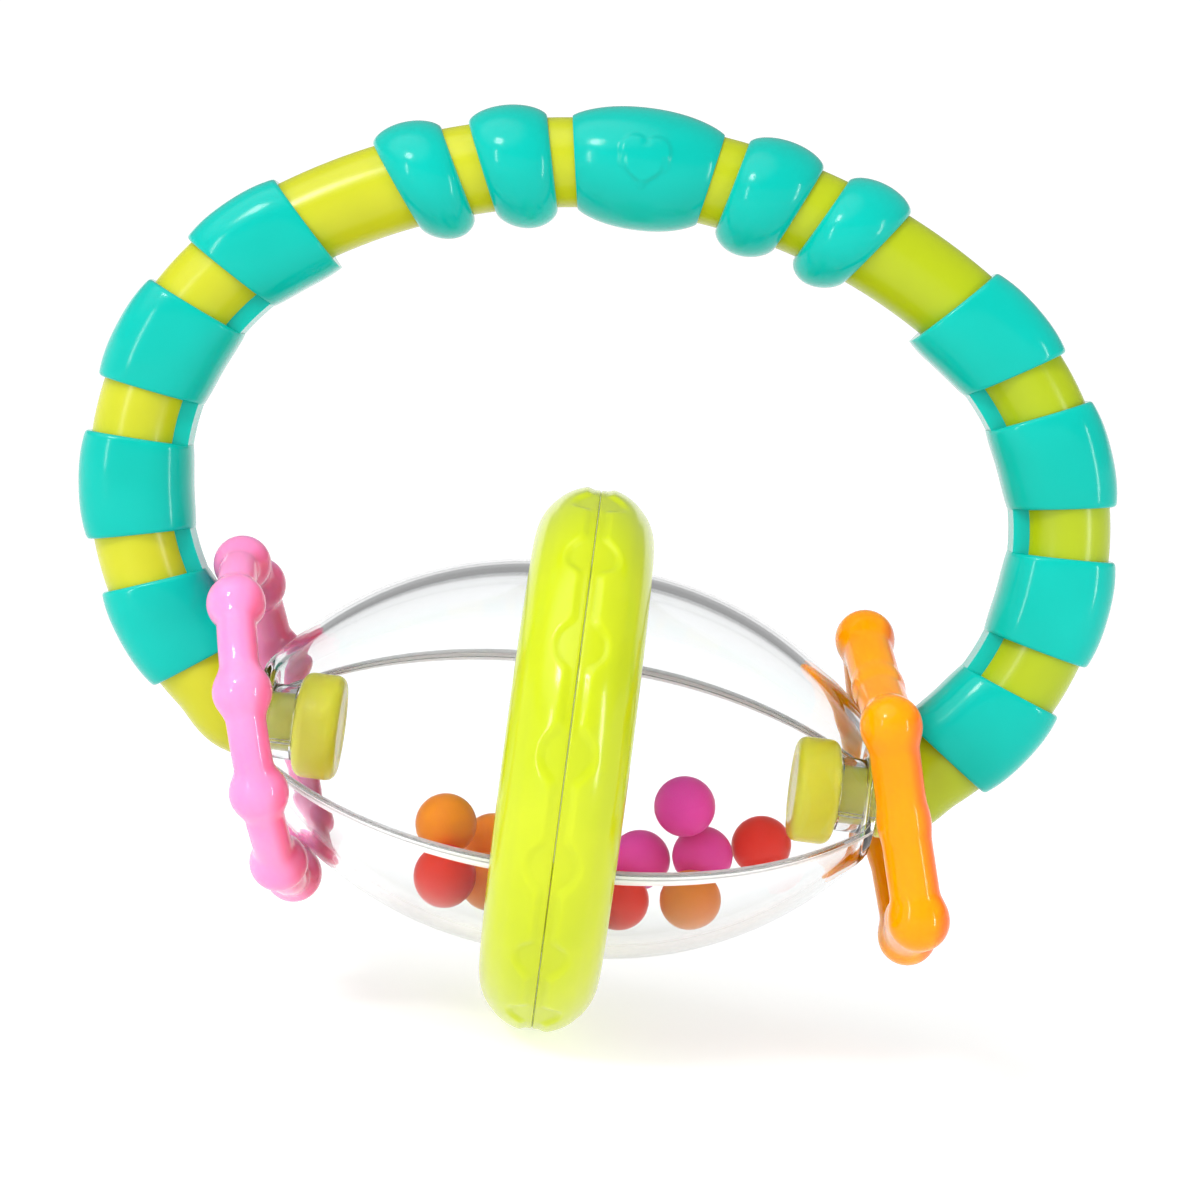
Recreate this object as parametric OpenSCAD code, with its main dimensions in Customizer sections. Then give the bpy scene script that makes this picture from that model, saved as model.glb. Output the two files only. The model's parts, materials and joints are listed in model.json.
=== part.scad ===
// Baby rattle: a C-shaped grip loop whose two ends carry a clear spinning drum of balls and two loose rings.
// X runs along the drum's axle, Y is depth with the front at -Y, and Z is up.
// The origin is on the ground, under the middle of the axle.

/* [Grip loop] */
// Radius of the round core of the loop
core_r = 6; // [5.5:0.25:6.5]
// Radius of the wide arc along the top of the loop
top_arc_r = 82; // [80:0.5:84]
// How far the top arc's centre lies below the axle
top_arc_drop = 1.5; // [1:0.1:2]
// Radius of the arc down each side of the loop
side_arc_r = 38; // [37.5:0.25:38.5]
// Angle above horizontal at which the top arc runs into a side arc
junction_angle = 54.9; // [54:0.1:56]

/* [Neck and head] */
// Radius of the neck that the drum turns on
neck_r = 4; // [3.6:0.1:4.2]
// Radius of the shoulder outside the drum
shoulder_r = 5.3; // [5:0.1:5.6]
// Distance from the middle of the axle to the shoulder's face
shoulder_x = 42.6; // [42.4:0.1:43]
// Radius of the retaining head inside the drum
head_r = 7.2; // [6.5:0.1:7.5]
// Thickness of the retaining head
head_length = 5.8; // [5:0.1:6]

/* [Soft grips] */
// Thickness of the grip band on the outer side of the loop
band_outer = 1.2; // [0.8:0.1:1.4]
// Thickness of the grip band on the inner side of the loop
band_inner = 2.1; // [1.6:0.1:2.2]
// Half depth of a band between its flat front and back
band_half_depth = 7; // [6.8:0.1:7.2]
// Number of bands on each grip
band_count = 4; // [3:1:4]
// Angle of the lowest band below horizontal
band_first = -28; // [-29:0.5:-27]
// Angle from one band to the next
band_pitch = 22.2; // [21.5:0.1:22.5]
// Angle that one band spans
band_span = 14.7; // [13:0.1:16]
// Radial depth of the strip that joins the bands
strip_depth = 2.9; // [2.5:0.1:3.1]

/* [Top bumps and badge] */
// Radius of the round bumps
bump_r = 8.35; // [7.8:0.05:8.6]
// Angle of the inner bumps from the middle of the top
inner_bump_angle = 19; // [18:0.5:20]
// Angle that an inner bump spans
inner_bump_span = 10.4; // [9:0.2:11]
// Angle of the outer bumps from the middle of the top
outer_bump_angle = 32.2; // [31.6:0.1:33]
// Angle that an outer bump spans
outer_bump_span = 8.8; // [8:0.2:9.4]
// Radius of the badge barrel at its middle
badge_r = 8.25; // [7.8:0.05:8.6]
// Half length of the badge barrel
badge_half_length = 9.4; // [8.8:0.1:9.6]
// Side of the square that the badge's raised heart is built on
heart_side = 3.6; // [3:0.1:4]

/* [Drum] */
// Radius of the drum's belly
belly_r = 26.6; // [26.2:0.1:26.8]
// Half length of the straight belly
belly_half_length = 3; // [2.5:0.1:3.5]
// Radius of the curve from the belly to each end
drum_curve_r = 50.2; // [50:0.1:50.6]
// Distance from the middle of the drum to each end face
drum_half_length = 42; // [41.6:0.1:42]
// Wall thickness of the shells
drum_wall = 1.8; // [1.4:0.1:2]
// Outer radius of the hub collar inside each end
hub_r = 5.1; // [4.9:0.1:5.6]
// How far below level the seam between the shells lies at the front
seam_tilt = 27; // [0:1:90]

/* [Tread ring] */
// Outer radius of the ring around the belly
tread_r = 37.2; // [36.5:0.1:37.8]
// Half width of the ring, which is also the radius of its round outside
tread_half_width = 8.1; // [8:0.1:8.4]
// Wall thickness of the hollow ring
tread_wall = 2; // [1.8:0.1:2.2]
// Number of thumb dimples around each half
dimple_count = 16; // [8:2:16]

/* [Loose rings] */
// Radius from the middle of the flower ring to its beads
flower_r = 21.5; // [21.4:0.05:21.6]
// Radius of a flower bead
flower_bead_r = 3.9; // [3.6:0.1:3.9]
// Radius of the flower ring's tube between beads
flower_tube_r = 2.6; // [2.4:0.1:3]
// Number of flower beads
flower_beads = 10; // [8:1:12]
// Radius from the middle of the star ring to the balls at its points
star_tip_r = 22.2; // [21.5:0.1:22.6]
// Radius from the middle of the star ring to its inner corners
star_corner_r = 16.6; // [16.2:0.1:17]
// Radius of the star ring's tube
star_tube_r = 3.5; // [3.2:0.1:3.5]

/* [Balls] */
// Radius of a rattle ball
ball_r = 4.2; // [3.8:0.05:4.2]

/* [Hidden] */
$fn = 64;

// The axle is as high as the tread ring that the toy stands on
axle_z = tread_r;
// Centres of the side arcs, which are tangent to the top arc
side_x = (top_arc_r - side_arc_r) * cos(junction_angle);
side_z = (top_arc_r - side_arc_r) * sin(junction_angle) - top_arc_drop;
side_arc_end = -70;
core_end_x = 44;
// A short collar, hidden under the top band, covers the seam between the arcs
collar_r = core_r + 0.05;
collar_length = 2;
// Points that the edges of the bands and of the bumps fan out from
band_fan_x = 12;
band_fan_z = side_z;
bump_fan_z = 30;
bump_inset = 0.35;
// Air left between each moulded-on piece and the core
overmould_gap = 0.15;
grip_sweep_from = -56;
grip_sweep_to = junction_angle + 14;
badge_sweep = 12;
// Pieces that join overlap by this much
overlap = 1;
shoulder_length = 4.4;
neck_length = 6.1;
running_gap = 0.08;
head_gap = 0.3;
seat_gap = 0.1;
head_x = shoulder_x - neck_length;
hub_x = head_x + head_gap;
head_corner_r = 1.4;
// How much smaller the badge barrel's radius is at its ends than in its middle
badge_drop = 1.4;
badge_curve_r = (badge_half_length ^ 2 + badge_drop ^ 2) / (2 * badge_drop);
heart_y = 7;
heart_drop = 0.8 * heart_side;
heart_height = 1.75;
dimple_r = 4.5;
dimple_depth = 0.7;
dimple_x = 2.65;
dimple_pitch = 360 / dimple_count;
first_dimple = -7.5;
star_tip_ball_r = star_tube_r + 0.5;
star_corner_ball_r = star_tube_r + 0.2;
star_points = 5;
// Where each loose ring hangs, relative to the axle, and how far its top leans to -X
flower_centre = [-41, 0, 0];
flower_lean = 16;
flower_first_bead = -52;
star_centre = [44.5, 0, 0.3];
star_lean = 16;
star_first_tip = -105;
// Longer than anything that it cuts
far = 40;

CORE_COLOR = "#D8E022";
GRIP_COLOR = "#00CFBF";
CLEAR_COLOR = [0.85, 0.93, 0.97, 0.35];
LIME_COLOR = "#CFE81C";
PINK_COLOR = "#FF8FD8";
STAR_COLOR = "#FFA000";

// Name, colour and centre relative to the axle of each ball, in the heaps where they lie
BALLS = [
    ["ball_orange_1", "#FF8C1A", [-15.1, -1, -10.9]],
    ["ball_orange_2", "#FF8C1A", [-8.7, 8, -14.2]],
    ["ball_orange_3", "#FF8C1A", [-8.2, 0, -18.3]],
    ["ball_orange_4", "#FF8C1A", [19, -3, -16.7]],
    ["ball_red_1", "#F03010", [-14.1, -7.5, -16.7]],
    ["ball_red_2", "#F03010", [28.2, 6.5, -9.5]],
    ["ball_red_3", "#F03010", [9.4, -2, -18.2]],
    ["ball_red_4", "#F03010", [0.6, 5, -19.6]],
    ["ball_pink_1", "#DC5CB0", [16.7, 0, -4.5]],
    ["ball_pink_2", "#DC5CB0", [11.8, 5, -13.4]],
    ["ball_pink_3", "#DC5CB0", [20.2, 4, -11.6]],
    ["ball_pink_4", "#DC5CB0", [0.6, -5, -19.6]]
];

// ---- Helpers ----

module on_axle() {
    translate([0, 0, axle_z]) children();
}

module left_side(is_left) {
    mirror([is_left ? 1 : 0, 0, 0]) children();
}

// Sweeps a section along an arc in the loop's plane, with angles measured up from +X
module sweep(r, from, to) {
    rotate([90, 0, 0])
        rotate([0, 0, from])
            rotate_extrude(angle = to - from, $fn = 128)
                translate([r, 0])
                    children();
}

module top_arc(from, to) {
    translate([0, 0, -top_arc_drop]) sweep(top_arc_r, from, to) children();
}

module side_arc(from, to) {
    translate([side_x, 0, side_z]) sweep(side_arc_r, from, to) children();
}

// A wedge in the loop's plane, for edges that fan out from one point
module fan(x, z, middle, span, reach = 90) {
    translate([x, 0, z])
        rotate([90, 0, 0])
            linear_extrude(height = far, center = true)
                polygon([
                    [0, 0],
                    reach * [cos(middle - span / 2), sin(middle - span / 2)],
                    reach * [cos(middle + span / 2), sin(middle + span / 2)]
                ]);
}

// Turns a profile of (radius, distance along the axle) about the X axis
module turned(angle = 360) {
    rotate([0, 90, 0]) rotate_extrude(angle = angle, $fn = 128) children();
}

// ---- Grip loop ----

module head_profile() {
    c = head_corner_r;
    square([head_r - c, head_length]);
    translate([0, c]) square([head_r, head_length - 2 * c]);
    translate([head_r - c, c]) circle(c);
    translate([head_r - c, head_length - c]) circle(c);
}

// The end of the loop on the +X side: shoulder, neck and retaining head
module axle_end() {
    translate([shoulder_x, 0, 0]) rotate([0, 90, 0]) cylinder(r = shoulder_r, h = shoulder_length);
    translate([head_x - overlap, 0, 0]) rotate([0, 90, 0]) cylinder(r = neck_r, h = neck_length + 2 * overlap);
    translate([head_x - head_length, 0, 0]) turned() head_profile();
}

module handle_core() {
    color(CORE_COLOR) on_axle() {
        top_arc(junction_angle, 180 - junction_angle) circle(core_r);
        for (is_left = [false, true]) left_side(is_left) {
            difference() {
                side_arc(side_arc_end, junction_angle) circle(core_r);
                translate([core_end_x - far, -far / 2, -far / 2]) cube(far);
            }
            translate([side_x, 0, side_z])
                rotate([0, -junction_angle, 0])
                    translate([side_arc_r, 0, -collar_length / 2])
                        cylinder(r = collar_r, h = collar_length);
            axle_end();
        }
    }
}

module band_section() {
    difference() {
        intersection() {
            translate([(band_outer - band_inner) / 2, 0]) circle(core_r + (band_outer + band_inner) / 2);
            square([4 * core_r, 2 * band_half_depth], center = true);
        }
        circle(core_r + overmould_gap);
    }
}

module strip_section() {
    intersection() {
        band_section();
        translate([-core_r - band_inner, -core_r]) square([strip_depth, 2 * core_r]);
    }
}

module grip_sweep() {
    side_arc(grip_sweep_from, grip_sweep_to) children();
}

module grip() {
    for (i = [0 : band_count - 1])
        intersection() {
            grip_sweep() band_section();
            fan(band_fan_x, band_fan_z, band_first + i * band_pitch, band_span);
        }
    intersection() {
        grip_sweep() strip_section();
        fan(band_fan_x, band_fan_z, band_first + (band_count - 1) * band_pitch / 2, (band_count - 1) * band_pitch);
    }
}

module grip_left() {
    color(GRIP_COLOR) on_axle() left_side(true) grip();
}

module grip_right() {
    color(GRIP_COLOR) on_axle() left_side(false) grip();
}

// A round roll around the top arc; its faces fan out, so it is wider on the outside
module bump(is_left, angle, span) {
    direction = 90 - angle;
    reach = top_arc_r - bump_inset;
    // The fan's own point lies above the arc's centre, so the roll sits a little nearer the middle
    lean = asin((bump_fan_z + top_arc_drop) * sin(angle) / top_arc_r);
    color(GRIP_COLOR) on_axle() left_side(is_left)
        difference() {
            intersection() {
                translate([
                    reach * cos(direction + lean),
                    0,
                    reach * sin(direction + lean) - top_arc_drop
                ]) sphere(bump_r);
                fan(0, bump_fan_z, direction, span);
            }
            top_arc(junction_angle, 90) circle(core_r + overmould_gap);
        }
}

module heart() {
    rotate(45) {
        square(heart_side);
        translate([heart_side / 2, heart_side]) circle(d = heart_side);
        translate([heart_side, heart_side / 2]) circle(d = heart_side);
    }
}

module badge() {
    middle_z = top_arc_r - top_arc_drop - bump_inset;
    color(GRIP_COLOR) on_axle()
        difference() {
            translate([0, 0, middle_z]) {
                turned() intersection() {
                    translate([badge_r - badge_curve_r, 0]) circle(badge_curve_r);
                    translate([0, -badge_half_length]) square([badge_r, 2 * badge_half_length]);
                }
                translate([0, -heart_y, -heart_drop])
                    rotate([90, 0, 0]) linear_extrude(height = heart_height) heart();
            }
            top_arc(90 - badge_sweep, 90 + badge_sweep) circle(core_r + overmould_gap);
        }
}

// ---- Drum ----

// Half of the drum's lengthwise section, inset from the outer surface, as far as length x
module drum_section(inset, length) {
    translate([belly_r - drum_curve_r, belly_half_length])
        intersection() {
            circle(drum_curve_r - inset, $fn = 128);
            translate([drum_curve_r - belly_r, 0]) square([belly_r, length - belly_half_length]);
        }
    square([belly_r - inset, belly_half_length]);
}

module drum_wall_section() {
    difference() {
        union() {
            difference() {
                drum_section(0, drum_half_length);
                translate([0, -overlap]) square([belly_r - drum_wall, overlap + belly_half_length]);
                drum_section(drum_wall, drum_half_length - drum_wall);
            }
            translate([0, hub_x]) square([hub_r, drum_half_length - hub_x]);
        }
        square([neck_r + running_gap, drum_half_length + overlap]);
    }
}

// Half the drum, cut along a plane through the axle
module drum_shell() {
    for (is_left = [false, true]) left_side(is_left)
        turned(180) drum_wall_section();
}

module drum_shell_front() {
    color(CLEAR_COLOR) on_axle() rotate([90 + seam_tilt, 0, 0]) drum_shell();
}

module drum_shell_back() {
    color(CLEAR_COLOR) on_axle() rotate([seam_tilt - 90, 0, 0]) drum_shell();
}

// ---- Tread ring ----

// A half of the ring's section, inset from its outside: straight sides with a round top
module tread_outline(inset) {
    width = tread_half_width - inset;
    intersection() {
        union() {
            square([tread_r - tread_half_width, width]);
            translate([tread_r - tread_half_width, 0]) circle(width);
        }
        square([tread_r, tread_half_width]);
    }
}

module tread_section() {
    difference() {
        tread_outline(0);
        difference() {
            tread_outline(tread_wall);
            square([belly_r + tread_wall, tread_half_width]);
        }
        drum_section(-seat_gap, drum_half_length);
    }
}

module dimples() {
    slope = asin(dimple_x / tread_half_width);
    surface_r = tread_r - tread_half_width * (1 - cos(slope));
    stand_off = dimple_r - dimple_depth;
    for (i = [0 : dimple_count - 1])
        rotate([90 + first_dimple + i * dimple_pitch, 0, 0])
            translate([dimple_x + stand_off * sin(slope), 0, surface_r + stand_off * cos(slope)])
                sphere(dimple_r);
}

module tread(is_left) {
    color(LIME_COLOR) on_axle() left_side(is_left)
        difference() {
            rotate([first_dimple + dimple_pitch / 2, 0, 0]) turned() tread_section();
            dimples();
        }
}

// ---- Loose rings ----

// Turns a ring that was drawn about the X axis so that its top leans to -X
module hung(centre, lean) {
    translate(centre) rotate([0, -lean, 0]) children();
}

// A point on a ring about the X axis, with the angle measured down from the front
function ring_point(r, angle) = [0, -r * cos(angle), -r * sin(angle)];

module flower_ring() {
    color(PINK_COLOR) on_axle() hung(flower_centre, flower_lean) {
        turned() translate([flower_r, 0]) circle(flower_tube_r);
        for (i = [0 : flower_beads - 1])
            translate(ring_point(flower_r, flower_first_bead + i * 360 / flower_beads))
                sphere(flower_bead_r);
    }
}

// A round bar between a point of the star and one of its inner corners
module star_side(tip_angle, corner_angle) {
    tip = ring_point(star_tip_r, tip_angle);
    run = ring_point(star_corner_r, corner_angle) - tip;
    translate(tip)
        rotate([-atan2(run[1], run[2]), 0, 0])
            cylinder(r = star_tube_r, h = norm(run));
}

module star_ring() {
    step = 180 / star_points;
    color(STAR_COLOR) on_axle() hung(star_centre, star_lean)
        for (i = [0 : star_points - 1]) {
            tip_angle = star_first_tip + 2 * i * step;
            translate(ring_point(star_tip_r, tip_angle)) sphere(star_tip_ball_r);
            translate(ring_point(star_corner_r, tip_angle + step)) sphere(star_corner_ball_r);
            star_side(tip_angle, tip_angle + step);
            star_side(tip_angle, tip_angle - step);
        }
}

// ---- Balls ----

module ball(colour, centre) {
    color(colour) on_axle() translate(centre) sphere(ball_r);
}

handle_core();
grip_left();
grip_right();
bump(true, outer_bump_angle, outer_bump_span);  // bump_outer_left
bump(true, inner_bump_angle, inner_bump_span);  // bump_inner_left
bump(false, inner_bump_angle, inner_bump_span);  // bump_inner_right
bump(false, outer_bump_angle, outer_bump_span);  // bump_outer_right
badge();
drum_shell_front();
drum_shell_back();
tread(true);  // tread_left
tread(false);  // tread_right
flower_ring();
star_ring();
for (item = BALLS)
    ball(item[1], item[2]);
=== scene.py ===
"""The baby rattle's looks: detailed pieces, materials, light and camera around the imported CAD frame."""
import json
import math

import bmesh
import bpy
import numpy as np
from mathutils import Matrix, Vector


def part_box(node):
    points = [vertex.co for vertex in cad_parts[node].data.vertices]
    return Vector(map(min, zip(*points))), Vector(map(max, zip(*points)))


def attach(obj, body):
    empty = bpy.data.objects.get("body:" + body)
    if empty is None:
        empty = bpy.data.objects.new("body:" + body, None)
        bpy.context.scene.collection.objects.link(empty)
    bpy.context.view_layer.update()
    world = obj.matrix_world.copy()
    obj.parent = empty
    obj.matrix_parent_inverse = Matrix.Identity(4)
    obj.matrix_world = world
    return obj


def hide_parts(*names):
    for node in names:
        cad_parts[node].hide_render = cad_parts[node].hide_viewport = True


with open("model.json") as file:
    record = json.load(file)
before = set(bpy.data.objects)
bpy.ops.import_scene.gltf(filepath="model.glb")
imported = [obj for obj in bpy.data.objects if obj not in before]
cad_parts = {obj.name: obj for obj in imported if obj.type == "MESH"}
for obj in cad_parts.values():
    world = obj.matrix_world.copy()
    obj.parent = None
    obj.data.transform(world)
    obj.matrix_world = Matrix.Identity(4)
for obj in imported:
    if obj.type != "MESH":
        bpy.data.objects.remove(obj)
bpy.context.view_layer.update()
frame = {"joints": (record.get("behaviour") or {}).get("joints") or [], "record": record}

MM = 0.001
TURN = 2 * math.pi

# ---- What the frame gives ----

BODY_OF = {node: body for body, nodes in frame["record"]["behaviour"]["bodies"].items() for node in nodes}
JOINTS = {joint["name"]: joint for joint in frame["joints"]}

tread_low, tread_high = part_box("tread_right")
AXLE_Z = (tread_low.z + tread_high.z) / 2 / MM
TREAD_R = (tread_high.z - tread_low.z) / 2 / MM
TREAD_HALF_WIDTH = tread_high.x / MM
DRUM_HALF_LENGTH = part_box("drum_shell_front")[1].x / MM

# ---- Sizes in mm that repeat the CAD model's, measured from the axle ----

CORE_R = 6
TOP_ARC_R = 82
TOP_ARC_DROP = 1.5
SIDE_ARC_R = 38
JUNCTION = math.radians(54.9)
SIDE_X = (TOP_ARC_R - SIDE_ARC_R) * math.cos(JUNCTION)
SIDE_Z = (TOP_ARC_R - SIDE_ARC_R) * math.sin(JUNCTION) - TOP_ARC_DROP

NECK_R = 4
SHOULDER_R = 5.3
SHOULDER_X = 42.6
SHOULDER_EDGE = 0.5
HEAD_R = 7.2
HEAD_LENGTH = 5.8
HEAD_X = 36.5

BAND_OUTER = 1.2
BAND_INNER = 2.1
BAND_HALF_DEPTH = 7
BAND_FIRST = math.radians(-28)
BAND_PITCH = math.radians(22.2)
BAND_SPAN = math.radians(14.7)
BAND_COUNT = 4
BAND_FAN = (12, SIDE_Z)
STRIP_RECESS = 0.7

# The soft pieces' skins dip just under the core's surface between their raised parts, and behind them.
FILM_R = CORE_R - 0.4
BORE_R = CORE_R - 0.5

BUMP_FAN = (0, 30)
BUMP_RISE = (2.0, 2.65)
BUMPS = {"inner": (math.radians(19), math.radians(10.4)), "outer": (math.radians(32.2), math.radians(8.8))}
BADGE_SPAN = math.radians(20.8)
BADGE_RISE = (1.95, 2.45)
HEART_SIZE = 2.9
HEART_LIFT = 0.2
HEART_RISE = 0.34

BELLY_R = 26.6
BELLY_HALF_LENGTH = 3
DRUM_CURVE_R = 50.2
DRUM_WALL = 1.8
HUB_R = 5.1
HUB_X = 36.8
HUB_BORE_R = 4.08
SEAM_TILT = math.radians(27)
SEAM_EDGE = 0.55
SEAM_GAP = 0.05

TREAD_WALL = 2
DIMPLES = 16
FIRST_DIMPLE = math.radians(-7.5)
DIMPLE_R = 4.0
DIMPLE_DEPTH = 0.45
GROOVE_HALF_WIDTH = 1.9
POCKET_EXTRA_DEPTH = 0.15

FLOWER_R = 21.5
FLOWER_BEAD_R = 3.9
FLOWER_TUBE_R = 2.6
FLOWER_BEADS = 10
FLOWER_FIRST = math.radians(-52)
STAR_TIP_R = 22.2
STAR_CORNER_R = 16.6
STAR_TUBE_R = 3.4
STAR_BALL_R = 4.0
STAR_POINTS = 5
STAR_FIRST = math.radians(-105)


# ---- Mesh helpers ----


def grid_faces(rows, columns, close_rows):
    """Quads over a grid of points whose columns close on themselves."""
    faces = []
    for i in range(rows if close_rows else rows - 1):
        j = (i + 1) % rows
        for k in range(columns):
            n = (k + 1) % columns
            faces.append((i * columns + k, i * columns + n, j * columns + n, j * columns + k))
    return faces


def mesh_object(name, points, faces, sharp=math.radians(35)):
    """A smooth-shaded object from points in mm, measured from the axle."""
    points = np.asarray(points, float) + (0, 0, AXLE_Z)
    mesh = bpy.data.meshes.new(name)
    mesh.from_pydata((points * MM).tolist(), [], faces)
    work = bmesh.new()
    work.from_mesh(mesh)
    bmesh.ops.recalc_face_normals(work, faces=work.faces)
    work.to_mesh(mesh)
    work.free()
    mesh.shade_smooth()
    mesh.set_sharp_from_angle(angle=sharp)
    obj = bpy.data.objects.new(name, mesh)
    bpy.context.scene.collection.objects.link(obj)
    return obj


def skin(name, rings, close_rings=False, sharp=math.radians(35)):
    """A closed skin over rings of points; open ends are closed with a fan."""
    rings = np.asarray(rings, float)
    count, size = rings.shape[:2]
    faces = grid_faces(count, size, close_rings)
    points = rings.reshape(-1, 3)
    if not close_rings:
        ends = (rings[0].mean(0), rings[-1].mean(0))
        first = len(points)
        points = np.vstack([points, ends])
        for k in range(size):
            n = (k + 1) % size
            faces.append((first, n, k))
            base = (count - 1) * size
            faces.append((first + 1, base + k, base + n))
    return mesh_object(name, points, faces, sharp)


def piece(obj, material, *nodes):
    """The object takes a material, stands for CAD nodes, which it hides, and moves with their body."""
    obj.data.materials.append(material)
    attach(obj, BODY_OF[nodes[0]])
    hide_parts(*nodes)
    return obj


def mirrored(rings, is_left):
    """Rings drawn on the +X side, moved to the -X side if asked."""
    return np.asarray(rings, float) * (-1 if is_left else 1, 1, 1)


def smoothstep(x):
    x = np.clip(x, 0, 1)
    return x * x * (3 - 2 * x)


# ---- The grip loop's core ----


def core_half_path():
    """(x, z, direction, radius) from the middle of the top to the inner face of the right-hand head."""
    stations = []
    side_end = math.radians(-50)
    for a in np.linspace(math.pi / 2, JUNCTION, 52)[:-1]:
        x, z = TOP_ARC_R * math.cos(a), TOP_ARC_R * math.sin(a) - TOP_ARC_DROP
        stations.append((x, z, a - math.pi / 2, CORE_R))
    for a in np.linspace(JUNCTION, side_end, 76):
        x, z = SIDE_X + SIDE_ARC_R * math.cos(a), SIDE_Z + SIDE_ARC_R * math.sin(a)
        stations.append((x, z, a - math.pi / 2, CORE_R))
    stations.extend(neck_blend(stations[-1]))
    stations.extend(head_stations())
    return stations


def neck_blend(start):
    """A smooth bend from the end of the side arc onto the axle, thinning to the shoulder."""
    pull = 3.6
    heading = np.array([math.cos(start[2]), math.sin(start[2])])
    p0 = np.array(start[:2])
    p3 = np.array([SHOULDER_X + SHOULDER_EDGE, 0.0])
    p1, p2 = p0 + pull * heading, p3 + (pull, 0)
    stations = []
    for t in np.linspace(0, 1, 16)[1:]:
        point = (1 - t) ** 3 * p0 + 3 * t * (1 - t) ** 2 * p1 + 3 * t * t * (1 - t) * p2 + t ** 3 * p3
        slope = 3 * (1 - t) ** 2 * (p1 - p0) + 6 * t * (1 - t) * (p2 - p1) + 3 * t * t * (p3 - p2)
        radius = CORE_R + (SHOULDER_R - CORE_R) * smoothstep(t)
        stations.append((point[0], point[1], math.atan2(slope[1], slope[0]), radius))
    return stations


def head_stations():
    """The turned end: rounded shoulder, neck with a small fillet at each end, head with a dished face."""
    edge, fillet, dish, inward = SHOULDER_EDGE, 1.4, 0.12, math.pi
    profile = []
    for a in np.linspace(0, math.pi / 2, 5)[1:]:
        profile.append((SHOULDER_X + edge * (1 - math.sin(a)), SHOULDER_R - edge * (1 - math.cos(a))))
    profile += [(SHOULDER_X, NECK_R + 0.3), (SHOULDER_X - 0.1, NECK_R + 0.06), (SHOULDER_X - 0.3, NECK_R)]
    profile += [(HEAD_X + 0.4, NECK_R), (HEAD_X + 0.1, NECK_R + 0.1), (HEAD_X, NECK_R + 0.4)]
    for a in np.linspace(0, math.pi / 2, 8):
        profile.append((HEAD_X - fillet * (1 - math.cos(a)), HEAD_R - fillet * (1 - math.sin(a))))
    front = HEAD_X - HEAD_LENGTH
    for a in np.linspace(0, math.pi / 2, 8):
        profile.append((front + fillet * (1 - math.sin(a)), HEAD_R - fillet * (1 - math.cos(a))))
    face_r = HEAD_R - fillet
    profile += [(front, face_r - 1.2), (front + dish, face_r - 1.5), (front + dish, 1.2)]
    return [(x, 0, inward, r) for x, r in profile]


def handle_core():
    """The loop with its necks and heads, swept as one tube from the left head to the right one."""
    half = core_half_path()
    around = np.linspace(0, TURN, 72, endpoint=False)
    rings = []
    for side, path in ((-1, reversed(half[1:])), (1, half)):
        for x, z, heading, radius in path:
            normal_x, normal_z = -math.sin(heading), math.cos(heading)
            ring = np.stack([
                side * (x + radius * np.cos(around) * normal_x),
                radius * np.sin(around),
                z + radius * np.cos(around) * normal_z,
            ], axis=1)
            rings.append(ring)
    return piece(skin("handle_core_body", rings), CORE, "handle_core")


# ---- Soft pieces moulded over the core ----


def ray_to_circle(fan, angle, centre, radius):
    """How far along a ray from the fan point its far crossing with a circle lies."""
    dx, dz = fan[0] - centre[0], fan[1] - centre[1]
    along = dx * np.cos(angle) + dz * np.sin(angle)
    return -along + np.sqrt(along ** 2 - dx ** 2 - dz ** 2 + radius ** 2)


def loop_points(fan, angle, offset, depth):
    """Points at an offset from the loop's centre line, on the plane that leaves the fan point at an angle."""
    reach = ray_to_circle(fan, angle, (0, -TOP_ARC_DROP), TOP_ARC_R + offset)
    side_reach = ray_to_circle(fan, angle, (SIDE_X, SIDE_Z), SIDE_ARC_R + offset)
    x, z = fan[0] + side_reach * np.cos(angle), fan[1] + side_reach * np.sin(angle)
    on_side = np.arctan2(z - SIDE_Z, x - SIDE_X) < JUNCTION
    reach = np.where(on_side, side_reach, reach)
    return np.stack([fan[0] + reach * np.cos(angle), depth, fan[1] + reach * np.sin(angle)], axis=1)


def band_angles():
    """Angles round a section, closer together where the strip's sides are."""
    strip = math.radians(36)
    fine = np.linspace(math.pi - strip, math.pi + strip, 34)
    coarse = np.linspace(math.pi + strip, 3 * math.pi - strip, 76)[1:-1]
    return np.concatenate([fine, coarse])


def squircle(around, half_width, half_depth, centre, power=2.7):
    """A rounded section with softly flattened faces."""
    c, s = np.cos(around), np.sin(around)
    scale = (np.abs(c) ** power + np.abs(s) ** power) ** (-1 / power)
    return centre + half_width * scale * c, half_depth * scale * s


def gap_section(around):
    """Between bands: the strip on the inner side, and elsewhere a film hidden inside the core."""
    tilt = np.arctan2(np.sin(around), -np.cos(around))
    corner, foot = math.radians(20.5), math.radians(30)
    foot_reach, foot_spread = 5.1, 0.12
    face_reach = CORE_R + BAND_INNER - STRIP_RECESS
    flat = np.clip(tilt, -corner, corner)
    drop = smoothstep((np.abs(tilt) - corner) / (foot - corner))
    strip_offset = -face_reach + drop * (face_reach - foot_reach)
    strip_depth = face_reach * np.tan(flat) + foot_spread * np.sign(tilt) * drop
    offset = np.where(np.abs(tilt) <= foot, strip_offset, FILM_R * np.cos(around))
    depth = np.where(np.abs(tilt) <= foot, strip_depth, FILM_R * np.sin(around))
    return offset, depth


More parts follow.
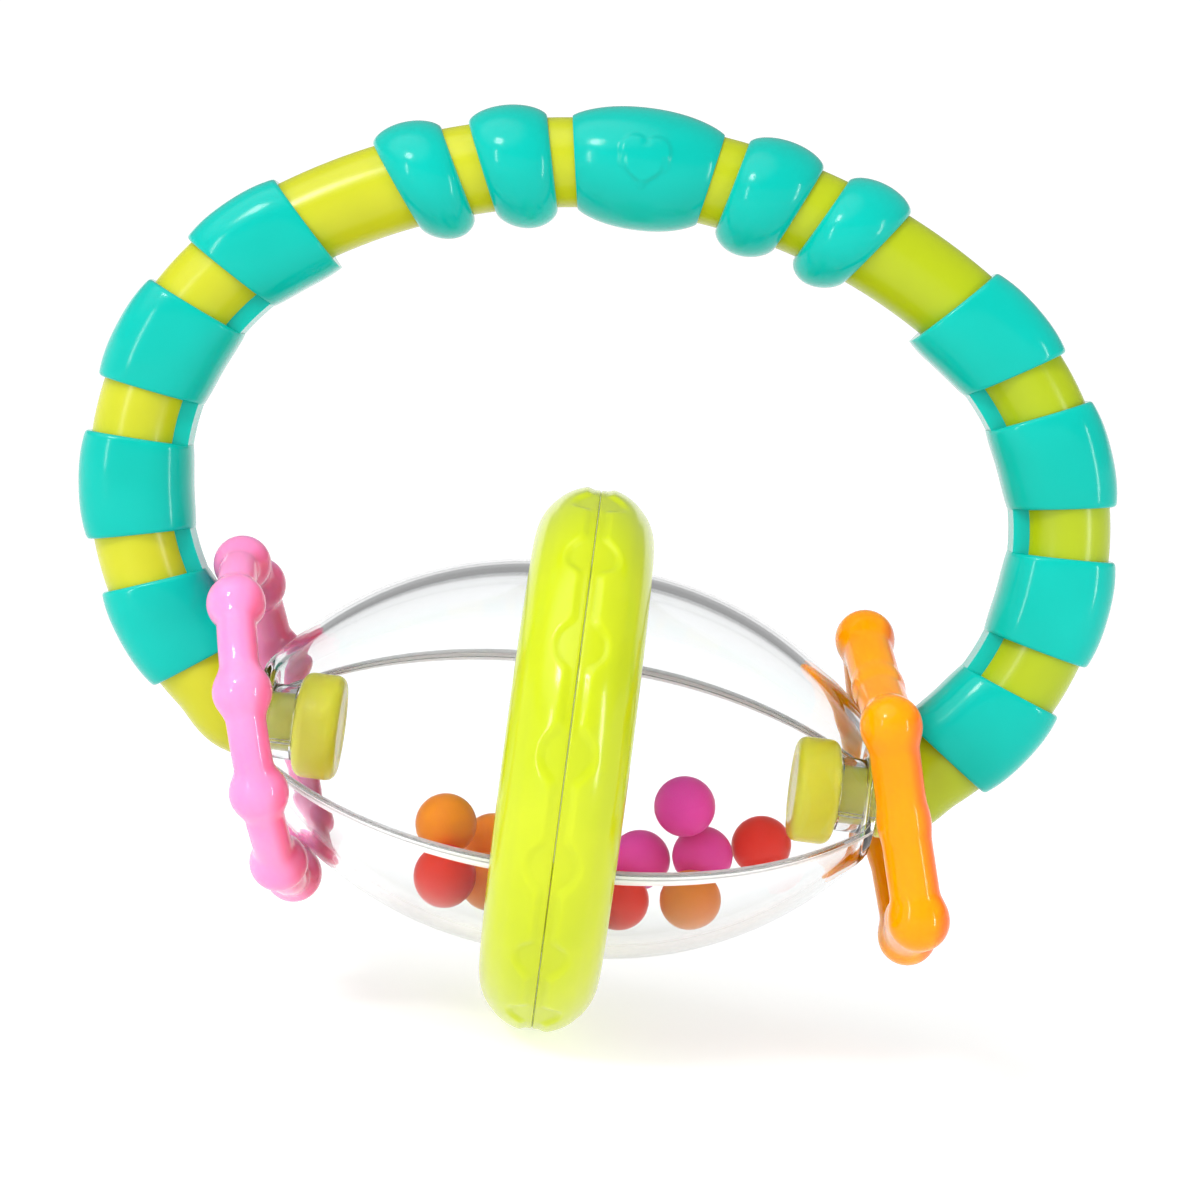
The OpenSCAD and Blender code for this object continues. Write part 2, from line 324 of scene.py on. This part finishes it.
def band_rows(middle, around):
    """Rows over one band, from the film before it, up its end wall, over its crown and down again."""
    half = BAND_SPAN / 2
    mean_r = 52
    end_fall, depth_margin = 0.45, 0.15
    gap = gap_section(around)
    # How far in from the band's end, in mm, and how much of its height is reached there.
    steps = [(0.0, 0.0), (0.0, 0.45), (0.0, 0.8), (0.1, 0.92), (0.28, 0.985), (0.55, 1.0)]
    rows = []
    for inset, height in steps:
        rows.append((-half + inset / mean_r, height))
    for u in np.linspace(-0.88, 0.88, 15):
        rows.append((u * half, 1.0))
    for inset, height in reversed(steps):
        rows.append((half - inset / mean_r, height))
    result = []
    for angle, height in rows:
        fall = end_fall * (abs(angle) / half) ** 3
        half_width = CORE_R + (BAND_OUTER + BAND_INNER) / 2 - fall
        half_depth = BAND_HALF_DEPTH + depth_margin - fall
        section = squircle(around, half_width, half_depth, (BAND_OUTER - BAND_INNER) / 2)
        offset = gap[0] + (section[0] - gap[0]) * height
        depth = gap[1] + (section[1] - gap[1]) * height
        result.append((middle + angle, offset, depth))
    return result


def grip(name, is_left):
    """Four bands and the strip that joins them, with a bore just inside the core's surface."""
    around = band_angles()
    rows = []
    for i in range(BAND_COUNT):
        rows.extend(band_rows(BAND_FIRST + i * BAND_PITCH, around))
        if i < BAND_COUNT - 1:
            start = BAND_FIRST + i * BAND_PITCH + BAND_SPAN / 2
            for angle in np.linspace(start, start + BAND_PITCH - BAND_SPAN, 8)[1:-1]:
                rows.append((angle, *gap_section(around)))
    rings = [loop_points(BAND_FAN, angle, offset, depth) for angle, offset, depth in rows]
    for angle in np.linspace(rows[-1][0], rows[0][0], 60):
        rings.append(loop_points(BAND_FAN, angle, BORE_R * np.cos(around), BORE_R * np.sin(around)))
    return piece(skin(name + "_mould", mirrored(rings, is_left), True), TEAL, name)


def roll_rows(middle, span, rises, fullness, around, rows):
    """Rows over a swelling round the core: a thin lip at each edge and a smooth crown between."""
    lip = 0.22
    outer_rise, inner_rise = rises
    result = []
    for u in np.sin(np.linspace(-math.pi / 2, math.pi / 2, rows)):
        rise = outer_rise + (inner_rise - outer_rise) * (1 - np.cos(around)) / 2
        crown = (1 - abs(u) ** fullness[0]) ** fullness[1]
        radius = CORE_R + lip + (rise - lip) * crown
        result.append((middle + u * span / 2, radius))
    film = np.full_like(around, FILM_R)
    result.insert(0, (middle - span / 2, film))
    result.append((middle + span / 2, film))
    return result


def roll(rows, around):
    """Rings over a swelling's rows, and back along the bore inside it."""
    back = [(angle, BORE_R) for angle in np.linspace(rows[-1][0], rows[0][0], 10)]
    rings = []
    for angle, radius in rows + back:
        rings.append(loop_points(BUMP_FAN, angle, radius * np.cos(around), radius * np.sin(around)))
    return rings


def bump(name, is_left, angle, span):
    around = np.linspace(0, TURN, 96, endpoint=False)
    rows = roll_rows(math.pi / 2 - angle, span, BUMP_RISE, (2.0, 0.62), around, 41)
    return piece(skin(name + "_mould", mirrored(roll(rows, around), is_left), True), TEAL, name)


def heart_distance(x, z, size):
    """Roughly how far a point is inside the outline of a heart of that size."""
    x, z = x / size, z / size
    shape = (x * x + z * z - 1) ** 3 - x * x * z ** 3
    slope = 6 * np.hypot(x, z) * np.maximum((x * x + z * z - 1) ** 2, 0.06) + 0.4
    return -shape / slope * size


def badge():
    """The oval barrel at the top, with a plain heart raised on its front."""
    around = np.linspace(0, TURN, 260, endpoint=False)
    rows = roll_rows(math.pi / 2, BADGE_SPAN, BADGE_RISE, (2.2, 0.8), around, 151)
    rings = np.array(roll(rows, around))
    edge, front_y = 0.45, -2
    middle_z = TOP_ARC_R - TOP_ARC_DROP - 0.2
    front = rings[:, :, 1] < front_y
    x, z = rings[:, :, 0], rings[:, :, 2] - middle_z
    inside = heart_distance(x, z - HEART_LIFT, HEART_SIZE)
    rise = HEART_RISE * smoothstep(inside / edge + 0.5)
    outer = np.hypot(rings[:, :, 1], z) > CORE_R
    rings[:, :, 1] -= np.where(front & outer, rise, 0)
    return piece(skin("badge_mould", rings, True), TEAL, "badge")


# ---- The clear drum ----


def drum_r(x, inset=0):
    """Radius of the drum's outside, or of a surface inset from it, at a distance along the axle."""
    beyond = max(abs(x) - BELLY_HALF_LENGTH, 0)
    curve = DRUM_CURVE_R - inset
    return BELLY_R - DRUM_CURVE_R + math.sqrt(curve ** 2 - beyond ** 2)


def drum_section():
    """The outside and the inside of the right half of a shell, from the middle out, with rounded hub edges.

    Both lists have the same number of points, because the seam face is made of quads between them.
    """
    end = DRUM_HALF_LENGTH
    inner_end = end - DRUM_WALL
    rim_r, inner_rim_r = drum_r(end), drum_r(inner_end, DRUM_WALL)
    outer = [(x, drum_r(x)) for x in np.linspace(0, end - 0.5, 60)]
    outer += [(end - 0.2, rim_r + 0.05), (end - 0.05, rim_r - 0.1), (end, rim_r - 0.35)]
    outer += [(end, HUB_R + 0.6), (end, HUB_R + 0.2), (end, HUB_R - 0.2)]
    outer += [(end, HUB_BORE_R + 0.4), (end, HUB_BORE_R + 0.15), (end - 0.1, HUB_BORE_R)]
    inner = [(x, drum_r(x, DRUM_WALL)) for x in np.linspace(0, inner_end - 0.4, 60)]
    inner += [(inner_end - 0.12, inner_rim_r - 0.1), (inner_end, HUB_R + 1), (inner_end, HUB_R + 0.4)]
    inner += [(inner_end - 0.15, HUB_R + 0.1), (inner_end - 0.5, HUB_R), (HUB_X + 0.15, HUB_R)]
    inner += [(HUB_X, HUB_R - 0.15), (HUB_X, HUB_BORE_R + 0.15), (HUB_X + 0.1, HUB_BORE_R)]
    return outer, inner


def drum_shell(name, start):
    """Half of the drum, swept half a turn about the axle and ending a hair before the other half."""
    outer, inner = drum_section()
    outer = [(-x, r) for x, r in reversed(outer[1:])] + outer
    inner = [(-x, r) for x, r in reversed(inner[1:])] + inner
    loop = np.array(outer + inner[::-1])
    is_outer = np.arange(len(loop)) < len(outer)
    edge = SEAM_EDGE / BELLY_R
    inside_share = 0.35
    start_rows = edge * np.array([0, 0.03, 0.1, 0.2, 0.35, 0.55, 0.8, 1.0, 1.3])
    middle_rows = np.linspace(2 * edge, math.pi - 2 * edge, 90)
    turns = np.concatenate([start_rows, middle_rows, math.pi - start_rows[::-1]])
    rings = []
    for a in turns:
        up, out = math.sin(a), math.cos(a)
        near = max(1 - min(a, math.pi - a) / edge, 0)
        rounding = edge * (1 - math.sqrt(1 - near ** 2))
        reach = loop[:, 1] * (1 - np.where(is_outer, rounding, inside_share * rounding))
        y0, z0 = reach * out, np.maximum(reach * up, SEAM_GAP)
        y = y0 * math.cos(start) - z0 * math.sin(start)
        z = y0 * math.sin(start) + z0 * math.cos(start)
        rings.append(np.stack([loop[:, 0], y, z], axis=1))
    rings = np.array(rings)
    count, size = rings.shape[:2]
    faces = grid_faces(count, size, False)
    half = len(outer)
    for base, flip in ((0, False), ((count - 1) * size, True)):
        for i in range(half - 1):
            quad = (base + i, base + i + 1, base + size - 2 - i, base + size - 1 - i)
            faces.append(quad[::-1] if flip else quad)
    obj = piece(mesh_object(name + "_clear", rings.reshape(-1, 3), faces), CLEAR, name)
    obj.data.materials.append(WELD)
    edge_rows = len(start_rows) - 1
    for polygon in obj.data.polygons[:(count - 1) * size]:
        row = polygon.index // size
        if row < edge_rows or row >= count - 1 - edge_rows:
            polygon.material_index = 1
    return obj


# ---- The lime tread ring ----


def tread_section():
    """A closed loop of (x, radius, is_outside) round half of the hollow ring."""
    seat, seam = 0.1, 0.015
    middle_r = TREAD_R - TREAD_HALF_WIDTH
    cavity = TREAD_HALF_WIDTH - TREAD_WALL
    floor_r = BELLY_R + TREAD_WALL
    points = [(seam, TREAD_R - 1.4, 0), (seam, TREAD_R - 0.3, 1), (seam + 0.12, TREAD_R - 0.06, 1)]
    first = math.asin(0.25 / TREAD_HALF_WIDTH)
    for a in np.linspace(first, math.pi / 2, 56):
        points.append((TREAD_HALF_WIDTH * math.sin(a), middle_r + TREAD_HALF_WIDTH * math.cos(a), 1))
    side_foot = drum_r(TREAD_HALF_WIDTH) + seat + 0.3
    points += [(TREAD_HALF_WIDTH, (middle_r + side_foot) / 2, 1), (TREAD_HALF_WIDTH, side_foot, 1)]
    points.append((TREAD_HALF_WIDTH - 0.3, drum_r(TREAD_HALF_WIDTH - 0.3) + seat, 0))
    for x in np.linspace(TREAD_HALF_WIDTH - 0.8, seam, 8):
        points.append((x, drum_r(x) + seat, 0))
    points += [(seam, floor_r, 0), (cavity / 2, floor_r, 0)]
    points += [(cavity - 0.5, floor_r, 0), (cavity, floor_r + 0.5, 0)]
    for a in np.linspace(math.pi / 2, 0, 14):
        points.append((seam + (cavity - seam) * math.sin(a), middle_r + cavity * math.cos(a), 0))
    return np.array(points)


def scalloped_groove(across, along):
    """Depth of the groove along the seam: round pockets joined by narrower necks."""
    blend, edge = 1.6, 1.2
    pocket = DIMPLE_R - np.hypot(across, along)
    neck = GROOVE_HALF_WIDTH - across
    mix = np.clip(0.5 + 0.5 * (pocket - neck) / blend, 0, 1)
    inside = neck + (pocket - neck) * mix + blend * mix * (1 - mix) / 2
    bowl = DIMPLE_DEPTH * smoothstep(inside / edge + 0.1)
    return bowl + POCKET_EXTRA_DEPTH * smoothstep(pocket / DIMPLE_R)


def tread(name, is_left):
    """Half of the ring round the drum's belly, with its share of the groove sunk in from the outside."""
    x, radius, outside = tread_section().T
    middle_r = TREAD_R - TREAD_HALF_WIDTH
    line_depth, line_place, line_width = 0.05, 6.4, 0.9
    hidden_sink = 0.02
    pitch = TURN / DIMPLES
    slope = np.arctan2(x, radius - middle_r)
    across = slope * TREAD_HALF_WIDTH
    line = line_depth * np.exp(-((across - line_place) / line_width) ** 2)
    rings = []
    for a in np.linspace(0, TURN, 640, endpoint=False):
        from_dimple = (a - FIRST_DIMPLE + pitch / 2) % pitch - pitch / 2
        depth = scalloped_groove(across, from_dimple * TREAD_R)
        sink = np.where(outside > 0, depth + line, hidden_sink)
        r = radius - sink * np.cos(slope)
        px = x - sink * np.sin(slope)
        rings.append(np.stack([px, -r * math.cos(a), -r * math.sin(a)], axis=1))
    return piece(skin(name + "_body", mirrored(rings, is_left), True), LIME, name)


# ---- The loose rings ----


def smooth_union(a, b, blend):
    """The smaller of two distances, blended where they are close."""
    h = np.clip(0.5 + 0.5 * (b - a) / blend, 0, 1)
    return b + (a - b) * h - blend * h * (1 - h)


def capsule_distance(points, start, end, radius):
    run = end - start
    t = np.clip(((points - start) @ run) / (run @ run), 0, 1)
    return np.linalg.norm(points - start - t[:, None] * run, axis=1) - radius


def ring_point(radius, angle):
    """A point in a ring's plane; angles run down from the front."""
    return np.array([0, -radius * math.cos(angle), -radius * math.sin(angle)])


def flower_distance(points):
    """Distance from the surface of a thin ring with round beads on it."""
    planar = np.hypot(points[:, 1], points[:, 2])
    result = np.hypot(planar - FLOWER_R, points[:, 0]) - FLOWER_TUBE_R
    for i in range(FLOWER_BEADS):
        centre = ring_point(FLOWER_R, FLOWER_FIRST + i * TURN / FLOWER_BEADS)
        bead = np.linalg.norm(points - centre, axis=1) - FLOWER_BEAD_R
        result = smooth_union(result, bead, 0.9)
    return result


def star_distance(points):
    """Distance from the surface of a star outline made of rods, with a ball on each tip."""
    swell = 0.1  # The rods start thinner by this, because blending them makes them thicker.
    result = np.full(len(points), 1e3)
    step = math.pi / STAR_POINTS
    for i in range(STAR_POINTS):
        tip_angle = STAR_FIRST + 2 * i * step
        tip = ring_point(STAR_TIP_R, tip_angle)
        for side in (-1, 1):
            corner = ring_point(STAR_CORNER_R, tip_angle + side * step)
            rod = capsule_distance(points, tip, corner, STAR_TUBE_R - swell)
            result = smooth_union(result, rod, 1.2)
        ball = np.linalg.norm(points - tip, axis=1) - STAR_BALL_R
        result = smooth_union(result, ball, 1.0)
    return result


def ring_rings(distance, middle_r, steps, sides):
    """Finds a ring's surface, by halving, along rays that leave a curve inside its tube."""
    ray_length, halvings = 9.0, 26
    around = np.linspace(0, TURN, sides, endpoint=False)
    rings = []
    for a in np.linspace(0, TURN, steps, endpoint=False):
        outward = ring_point(1, a)
        origin = outward * middle_r(a)
        rays = np.cos(around)[:, None] * outward + np.sin(around)[:, None] * np.array([1.0, 0, 0])
        near, far = np.zeros(sides), np.full(sides, ray_length)
        for _ in range(halvings):
            mid = (near + far) / 2
            inside = distance(origin + mid[:, None] * rays) < 0
            near, far = np.where(inside, mid, near), np.where(inside, far, mid)
        rings.append(origin + near[:, None] * rays)
    return np.array(rings)


def hang(rings, joint):
    """Puts a ring that was drawn about the X axis on its joint's centre and axis."""
    axis = Vector(joint["axis"])
    turn = np.array(Vector((1, 0, 0)).rotation_difference(axis).to_matrix())
    centre = np.array(joint["pos_m"]) / MM - (0, 0, AXLE_Z)
    return rings @ turn.T + centre


def flower_ring():
    rings = ring_rings(flower_distance, lambda a: FLOWER_R, 300, 40)
    return piece(skin("flower_ring_body", hang(rings, JOINTS["flower_spin"]), True), PINK, "flower_ring")


def star_middle_r(angle):
    """Radius of a wavy curve that stays inside the star's rods all the way round."""
    return 19.2 + 1.8 * math.cos(STAR_POINTS * (angle - STAR_FIRST))


def star_ring():
    rings = ring_rings(star_distance, star_middle_r, 320, 44)
    return piece(skin("star_ring_body", hang(rings, JOINTS["star_spin"]), True), ORANGE, "star_ring")


# ---- Balls ----


def ball(node, material, seed):
    """A moulded ball with a fine parting ridge and a gate mark, turned in a way that its seed picks."""
    low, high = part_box(node)
    radius = (high.x - low.x) / 2 / MM
    centre = np.array((low + high) / 2) / MM - (0, 0, AXLE_Z)
    work = bmesh.new()
    bmesh.ops.create_cube(work, size=1)
    bmesh.ops.subdivide_edges(work, edges=work.edges, cuts=23, use_grid_fill=True)
    points = np.array([vertex.co for vertex in work.verts])
    faces = [[vertex.index for vertex in face.verts] for face in work.faces]
    work.free()
    points /= np.linalg.norm(points, axis=1)[:, None]
    shrink, ridge_height, ridge_width = 0.04, 0.03, 0.09
    gate_depth, gate_r = 0.12, 0.6
    from_gate = np.arccos(np.clip(points[:, 0], -1, 1)) * radius
    ridge = ridge_height * np.exp(-((points[:, 2] * radius) / ridge_width) ** 2)
    gate = gate_depth * smoothstep(1 - from_gate / gate_r)
    points *= (radius - shrink + ridge - gate)[:, None]
    rng = np.random.default_rng(seed)
    spin = np.array(Matrix.Rotation(rng.uniform(0, TURN), 3, Vector(rng.normal(size=3)).normalized()))
    return piece(mesh_object(node + "_body", points @ spin.T + centre, faces), material, node)


# ---- Materials ----


def new_material(name):
    """A material with its node tree and its shader."""
    material = bpy.data.materials.new(name)
    material.use_nodes = True
    tree = material.node_tree
    return material, tree, tree.nodes["Principled BSDF"]


def add_node(tree, kind, **values):
    """A node whose inputs, or settings where it has no such input, take the given values."""
    node = tree.nodes.new(kind)
    for key, value in values.items():
        if key in node.inputs:
            node.inputs[key].default_value = value
        else:
            setattr(node, key, value)
    return node


def noise(tree, scale, detail=2.0):
    coordinates = add_node(tree, "ShaderNodeTexCoord")
    texture = add_node(tree, "ShaderNodeTexNoise", Scale=scale, Detail=detail, Roughness=0.5)
    tree.links.new(coordinates.outputs["Object"], texture.inputs["Vector"])
    return texture.outputs["Fac"]


def map_range(tree, value, before, after):
    node = add_node(tree, "ShaderNodeMapRange", interpolation_type="SMOOTHSTEP")
    tree.links.new(value, node.inputs["Value"])
    node.inputs["From Min"].default_value, node.inputs["From Max"].default_value = before
    node.inputs["To Min"].default_value, node.inputs["To Max"].default_value = after
    return node.outputs["Result"]


def blend_colours(tree, factor, low, high):
    """A colour between two, steered by a factor that is mostly near one half."""
    ramp = add_node(tree, "ShaderNodeValToRGB")
    for stop, position, colour in zip(ramp.color_ramp.elements, (0.35, 0.65), (low, high)):
        stop.position = position
        stop.color = (*colour, 1)
    tree.links.new(factor, ramp.inputs["Fac"])
    return ramp.outputs["Color"]


def paint_light_and_shade_along_axle(tree, colour, right, heads):
    """Paints shade into the core's colour as a darker, greener tone on the right, and paints light as a paler
    tone on both necks and heads.
    """
    axes = add_node(tree, "ShaderNodeSeparateXYZ")
    tree.links.new(add_node(tree, "ShaderNodeTexCoord").outputs["Object"], axes.inputs["Vector"])
    distance = add_node(tree, "ShaderNodeVectorMath", operation="LENGTH")
    flat = add_node(tree, "ShaderNodeCombineXYZ")
    drop = add_node(tree, "ShaderNodeMath", operation="SUBTRACT")
    tree.links.new(axes.outputs["Z"], drop.inputs[0])
    drop.inputs[1].default_value = AXLE_Z * MM
    tree.links.new(axes.outputs["X"], flat.inputs["X"])
    tree.links.new(drop.outputs["Value"], flat.inputs["Y"])
    tree.links.new(flat.outputs["Vector"], distance.inputs[0])
    # Painted shade: a darker, greener tone towards the right.
    painted_shade_to_right = map_range(tree, axes.outputs["X"], (-0.05, 0.06), (0, 1))
    # Painted light: a paler tone on the necks and heads, which sit behind the clear drum.
    painted_light_to_heads = map_range(tree, distance.outputs["Value"], (0.046, 0.042), (0, 1))
    return mix_colours(tree, painted_light_to_heads, mix_colours(tree, painted_shade_to_right, colour, right), heads)


def paint_shade_on_flank(tree, colour, flank_painted_shade):
    """Paints shade into the colour as a deeper tone on the faces turned to +X."""
    axes = add_node(tree, "ShaderNodeSeparateXYZ")
    tree.links.new(add_node(tree, "ShaderNodeTexCoord").outputs["Normal"], axes.inputs["Vector"])
    painted_shade_amount = map_range(tree, axes.outputs["X"], (0.35, 0.9), (0, 0.7))
    return mix_colours(tree, painted_shade_amount, colour, flank_painted_shade)


def mix_colours(tree, factor, colour, tone):
    mix = add_node(tree, "ShaderNodeMix", data_type="RGBA")
    colours = [socket for socket in mix.inputs if socket.type == "RGBA"]
    tree.links.new(factor, mix.inputs["Factor"])
    tree.links.new(colour, colours[0])
    colours[1].default_value = (*tone, 1)
    return next(socket for socket in mix.outputs if socket.type == "RGBA")


def moulded(name, low, high, gloss, depth, glow, sheen=0.8, ends=None, flank_painted_shade=None):
    """Moulded plastic: cloudy colour, uneven gloss, a fine skin texture and some depth under the surface.

    The colour lies between low and high, and gloss is the range of its roughness. Depth is the share of
    light that scatters inside, coloured by glow, and sheen is the strength of the mirror reflections.
    """
    material, tree, shader = new_material(name)
    colour = blend_colours(tree, noise(tree, 55.0), low, high)
    # The ends pair paints shade on the core's right and light on its necks and heads.
    if ends:
        colour = paint_light_and_shade_along_axle(tree, colour, *ends)
    # Painted shade: a deeper tone on the faces turned to +X.
    if flank_painted_shade:
        colour = paint_shade_on_flank(tree, colour, flank_painted_shade)
    tree.links.new(colour, shader.inputs["Base Color"])
    sheen_map = add_node(tree, "ShaderNodeMapRange")
    sheen_map.inputs["To Min"].default_value, sheen_map.inputs["To Max"].default_value = gloss
    tree.links.new(noise(tree, 240.0, 4.0), sheen_map.inputs["Value"])
    tree.links.new(sheen_map.outputs["Result"], shader.inputs["Roughness"])
    bump_node = add_node(tree, "ShaderNodeBump", Strength=0.04, Distance=0.0002)
    tree.links.new(noise(tree, 900.0, 3.0), bump_node.inputs["Height"])
    tree.links.new(bump_node.outputs["Normal"], shader.inputs["Normal"])
    shader.inputs["IOR"].default_value = 1.47
    shader.inputs["Specular Tint"].default_value = (sheen, sheen, sheen, 1)
    shader.inputs["Subsurface Weight"].default_value = depth
    shader.inputs["Subsurface Radius"].default_value = glow
    shader.inputs["Subsurface Scale"].default_value = 0.003
    return material


def weld_line():
    """The frosted edges of the drum's seam."""
    material, tree, shader = new_material("clear_seam_frosted")
    frost = blend_colours(tree, noise(tree, 900.0), (0.96, 0.97, 0.97), (1, 1, 1))
    tree.links.new(frost, shader.inputs["Base Color"])
    shader.inputs["Roughness"].default_value = 0.45
    shader.inputs["Transmission Weight"].default_value = 0.3
    return material


def clear_plastic():
    """Clear polystyrene with a faint cool tint and fine wipe marks in its gloss."""
    material, tree, shader = new_material("clear_shell_plastic")
    tint = blend_colours(tree, noise(tree, 20.0), (0.975, 0.985, 0.99), (0.99, 0.995, 1.0))
    tree.links.new(tint, shader.inputs["Base Color"])
    haze = add_node(tree, "ShaderNodeMapRange")
    haze.inputs["To Min"].default_value, haze.inputs["To Max"].default_value = 0.0, 0.02
    tree.links.new(noise(tree, 160.0, 5.0), haze.inputs["Value"])
    tree.links.new(haze.outputs["Result"], shader.inputs["Roughness"])
    shader.inputs["Transmission Weight"].default_value = 1.0
    shader.inputs["IOR"].default_value = 1.46
    shader.inputs["Specular Tint"].default_value = (0.22, 0.22, 0.22, 1)
    return material


def ball_plastic(name, low, high, glow):
    return moulded(name, low, high, gloss=(0.3, 0.4), depth=0.2, glow=glow, sheen=0.15)


# The core's ends pair is painted light and shade: a darker, greener right and paler necks and heads.
CORE = moulded("core_plastic_satin", (0.49, 0.51, 0.008), (0.55, 0.55, 0.012), gloss=(0.2, 0.3),
               depth=0.25, glow=(1, 0.8, 0.1), ends=((0.37, 0.46, 0.002), (1.0, 0.97, 0.06)))
TEAL = moulded("grip_rubber_smooth", (0.0, 0.42, 0.35), (0.001, 0.46, 0.39), gloss=(0.1, 0.18),
               depth=0.2, glow=(0.2, 1, 0.9), sheen=0.35)
LIME = moulded("lime_plastic_translucent", (0.51, 0.60, 0.006), (0.56, 0.64, 0.010), gloss=(0.12, 0.2),
               depth=0.5, glow=(1, 1, 0.1))
# The pink's flank tone is painted shade on its faces turned to +X.
PINK = moulded("pink_plastic_gloss", (1.0, 0.27, 0.55), (1.0, 0.31, 0.60), gloss=(0.05, 0.11),
               depth=0.6, glow=(1, 0.2, 0.4), flank_painted_shade=(0.95, 0.10, 0.26))
# The orange's flank tone is painted shade, a red edge on its faces turned to +X.
ORANGE = moulded("orange_plastic_gloss", (1.0, 0.32, 0.0), (1.0, 0.37, 0.0), gloss=(0.06, 0.14),
                 depth=0.6, glow=(1, 0.2, 0.01), sheen=0.45, flank_painted_shade=(0.9, 0.07, 0.0))
CLEAR = clear_plastic()
WELD = weld_line()
BALL_MATERIALS = {
    "orange": ball_plastic("ball_orange_satin", (1.0, 0.25, 0.003), (1.0, 0.31, 0.006), (1, 0.4, 0.1)),
    "red": ball_plastic("ball_red_satin", (1.0, 0.02, 0.001), (1.0, 0.03, 0.003), (1, 0.2, 0.1)),
    "pink": ball_plastic("ball_pink_satin", (0.95, 0.06, 0.45), (1.0, 0.08, 0.50), (1, 0.3, 0.6)),
}

# ---- Build ----

handle_core()
for is_left, side in ((True, "left"), (False, "right")):
    grip("grip_" + side, is_left)
    tread("tread_" + side, is_left)
    for place, (angle, span) in BUMPS.items():
        bump("bump_%s_%s" % (place, side), is_left, angle, span)
badge()
drum_shell("drum_shell_front", SEAM_TILT)
drum_shell("drum_shell_back", SEAM_TILT + math.pi)
flower_ring()
star_ring()
for index, node in enumerate(sorted(n for n in BODY_OF if n.startswith("ball_"))):
    ball(node, BALL_MATERIALS[node.split("_")[1]], index)

# ---- Floor, light and camera ----


def floor():
    """A wide pale floor that glows a little, so that it stays as light as the photo's."""
    mesh = bpy.data.meshes.new("studio_floor")
    reach = 4.0
    corners = [(-reach, -reach, 0), (reach, -reach, 0), (reach, reach, 0), (-reach, reach, 0)]
    mesh.from_pydata(corners, [], [(0, 1, 2, 3)])
    obj = bpy.data.objects.new("studio_floor", mesh)
    bpy.context.scene.collection.objects.link(obj)
    material, tree, shader = new_material("pale_floor")
    shade = blend_colours(tree, noise(tree, 3.0), (0.5, 0.5, 0.5), (0.52, 0.52, 0.52))
    shader.inputs["Emission Color"].default_value = (1, 1, 1, 1)
    shader.inputs["Emission Strength"].default_value = 0.64
    tree.links.new(shade, shader.inputs["Base Color"])
    shader.inputs["Roughness"].default_value = 0.9
    obj.data.materials.append(material)


def soft_box(name, place, target, size, watts):
    """A rectangular area light that faces a target."""
    light = bpy.data.lights.new(name, "AREA")
    light.shape = "RECTANGLE"
    light.size, light.size_y = size
    light.energy = watts
    obj = bpy.data.objects.new(name, light)
    bpy.context.scene.collection.objects.link(obj)
    obj.location = place
    obj.rotation_euler = (Vector(target) - Vector(place)).to_track_quat("-Z", "Y").to_euler()


def studio():
    """A white sweep to a little above the horizon, a room darker at the back, and soft lights."""
    world = bpy.data.worlds.new("studio_world")
    bpy.context.scene.world = world
    world.use_nodes = True
    tree = world.node_tree
    direction = add_node(tree, "ShaderNodeTexCoord").outputs["Generated"]
    axes = add_node(tree, "ShaderNodeSeparateXYZ")
    tree.links.new(direction, axes.inputs["Vector"])
    back = map_range(tree, axes.outputs["Y"], (-0.3, 0.5), (0.5, 0.36))
    sweep = map_range(tree, axes.outputs["Z"], (0.22, 0.27), (1, 0))
    sweep_strength = 1.08
    room = add_node(tree, "ShaderNodeMix")
    tree.links.new(sweep, room.inputs["Factor"])
    tree.links.new(back, room.inputs["A"])
    room.inputs["B"].default_value = sweep_strength
    toward_key = add_node(tree, "ShaderNodeVectorMath", operation="DOT_PRODUCT")
    tree.links.new(direction, toward_key.inputs[0])
    toward_key.inputs[1].default_value = Vector((-0.45, -0.4, 0.8)).normalized()
    key = map_range(tree, toward_key.outputs["Value"], (0.76, 0.95), (0, 1.7))
    total = add_node(tree, "ShaderNodeMath", operation="ADD")
    tree.links.new(room.outputs["Result"], total.inputs[0])
    tree.links.new(key, total.inputs[1])
    background = tree.nodes["Background"]
    background.inputs["Color"].default_value = (1, 1, 1, 1)
    tree.links.new(total.outputs["Value"], background.inputs["Strength"])
    middle = (0, 0, 0.06)
    soft_box("key_light", (-0.55, -0.7, 0.75), middle, (0.2, 0.2), 3.8)
    soft_box("right_strip", (0.62, -0.4, 0.2), middle, (0.04, 0.4), 1.3)
    soft_box("left_strip", (-0.5, -0.62, 0.2), middle, (0.03, 0.3), 0.9)


def camera():
    """In front of the toy and a little above it, rolled so that the axle slopes down to the right."""
    roll = math.radians(7.4)
    frame_width, sensor = 0.1628, 36
    target = Vector((0.0017, 0, (AXLE_Z + 22) * MM))
    place = Vector((0, -0.40, (AXLE_Z + 50) * MM))
    ahead = (target - place).normalized()
    right = ahead.cross(Vector((0, 0, 1))).normalized()
    up = right.cross(ahead)
    tilted_right = right * math.cos(roll) + up * math.sin(roll)
    tilted_up = up * math.cos(roll) - right * math.sin(roll)
    turn = Matrix((tilted_right, tilted_up, -ahead)).transposed()
    data = bpy.data.cameras.new("photo_camera")
    data.sensor_width = sensor
    data.lens = sensor * (target - place).length / frame_width
    data.clip_start = 0.01
    obj = bpy.data.objects.new("photo_camera", data)
    obj.matrix_world = Matrix.Translation(place) @ turn.to_4x4()
    bpy.context.scene.collection.objects.link(obj)
    bpy.context.scene.camera = obj


floor()
studio()
camera()
bpy.context.scene.view_settings.view_transform = "Standard"
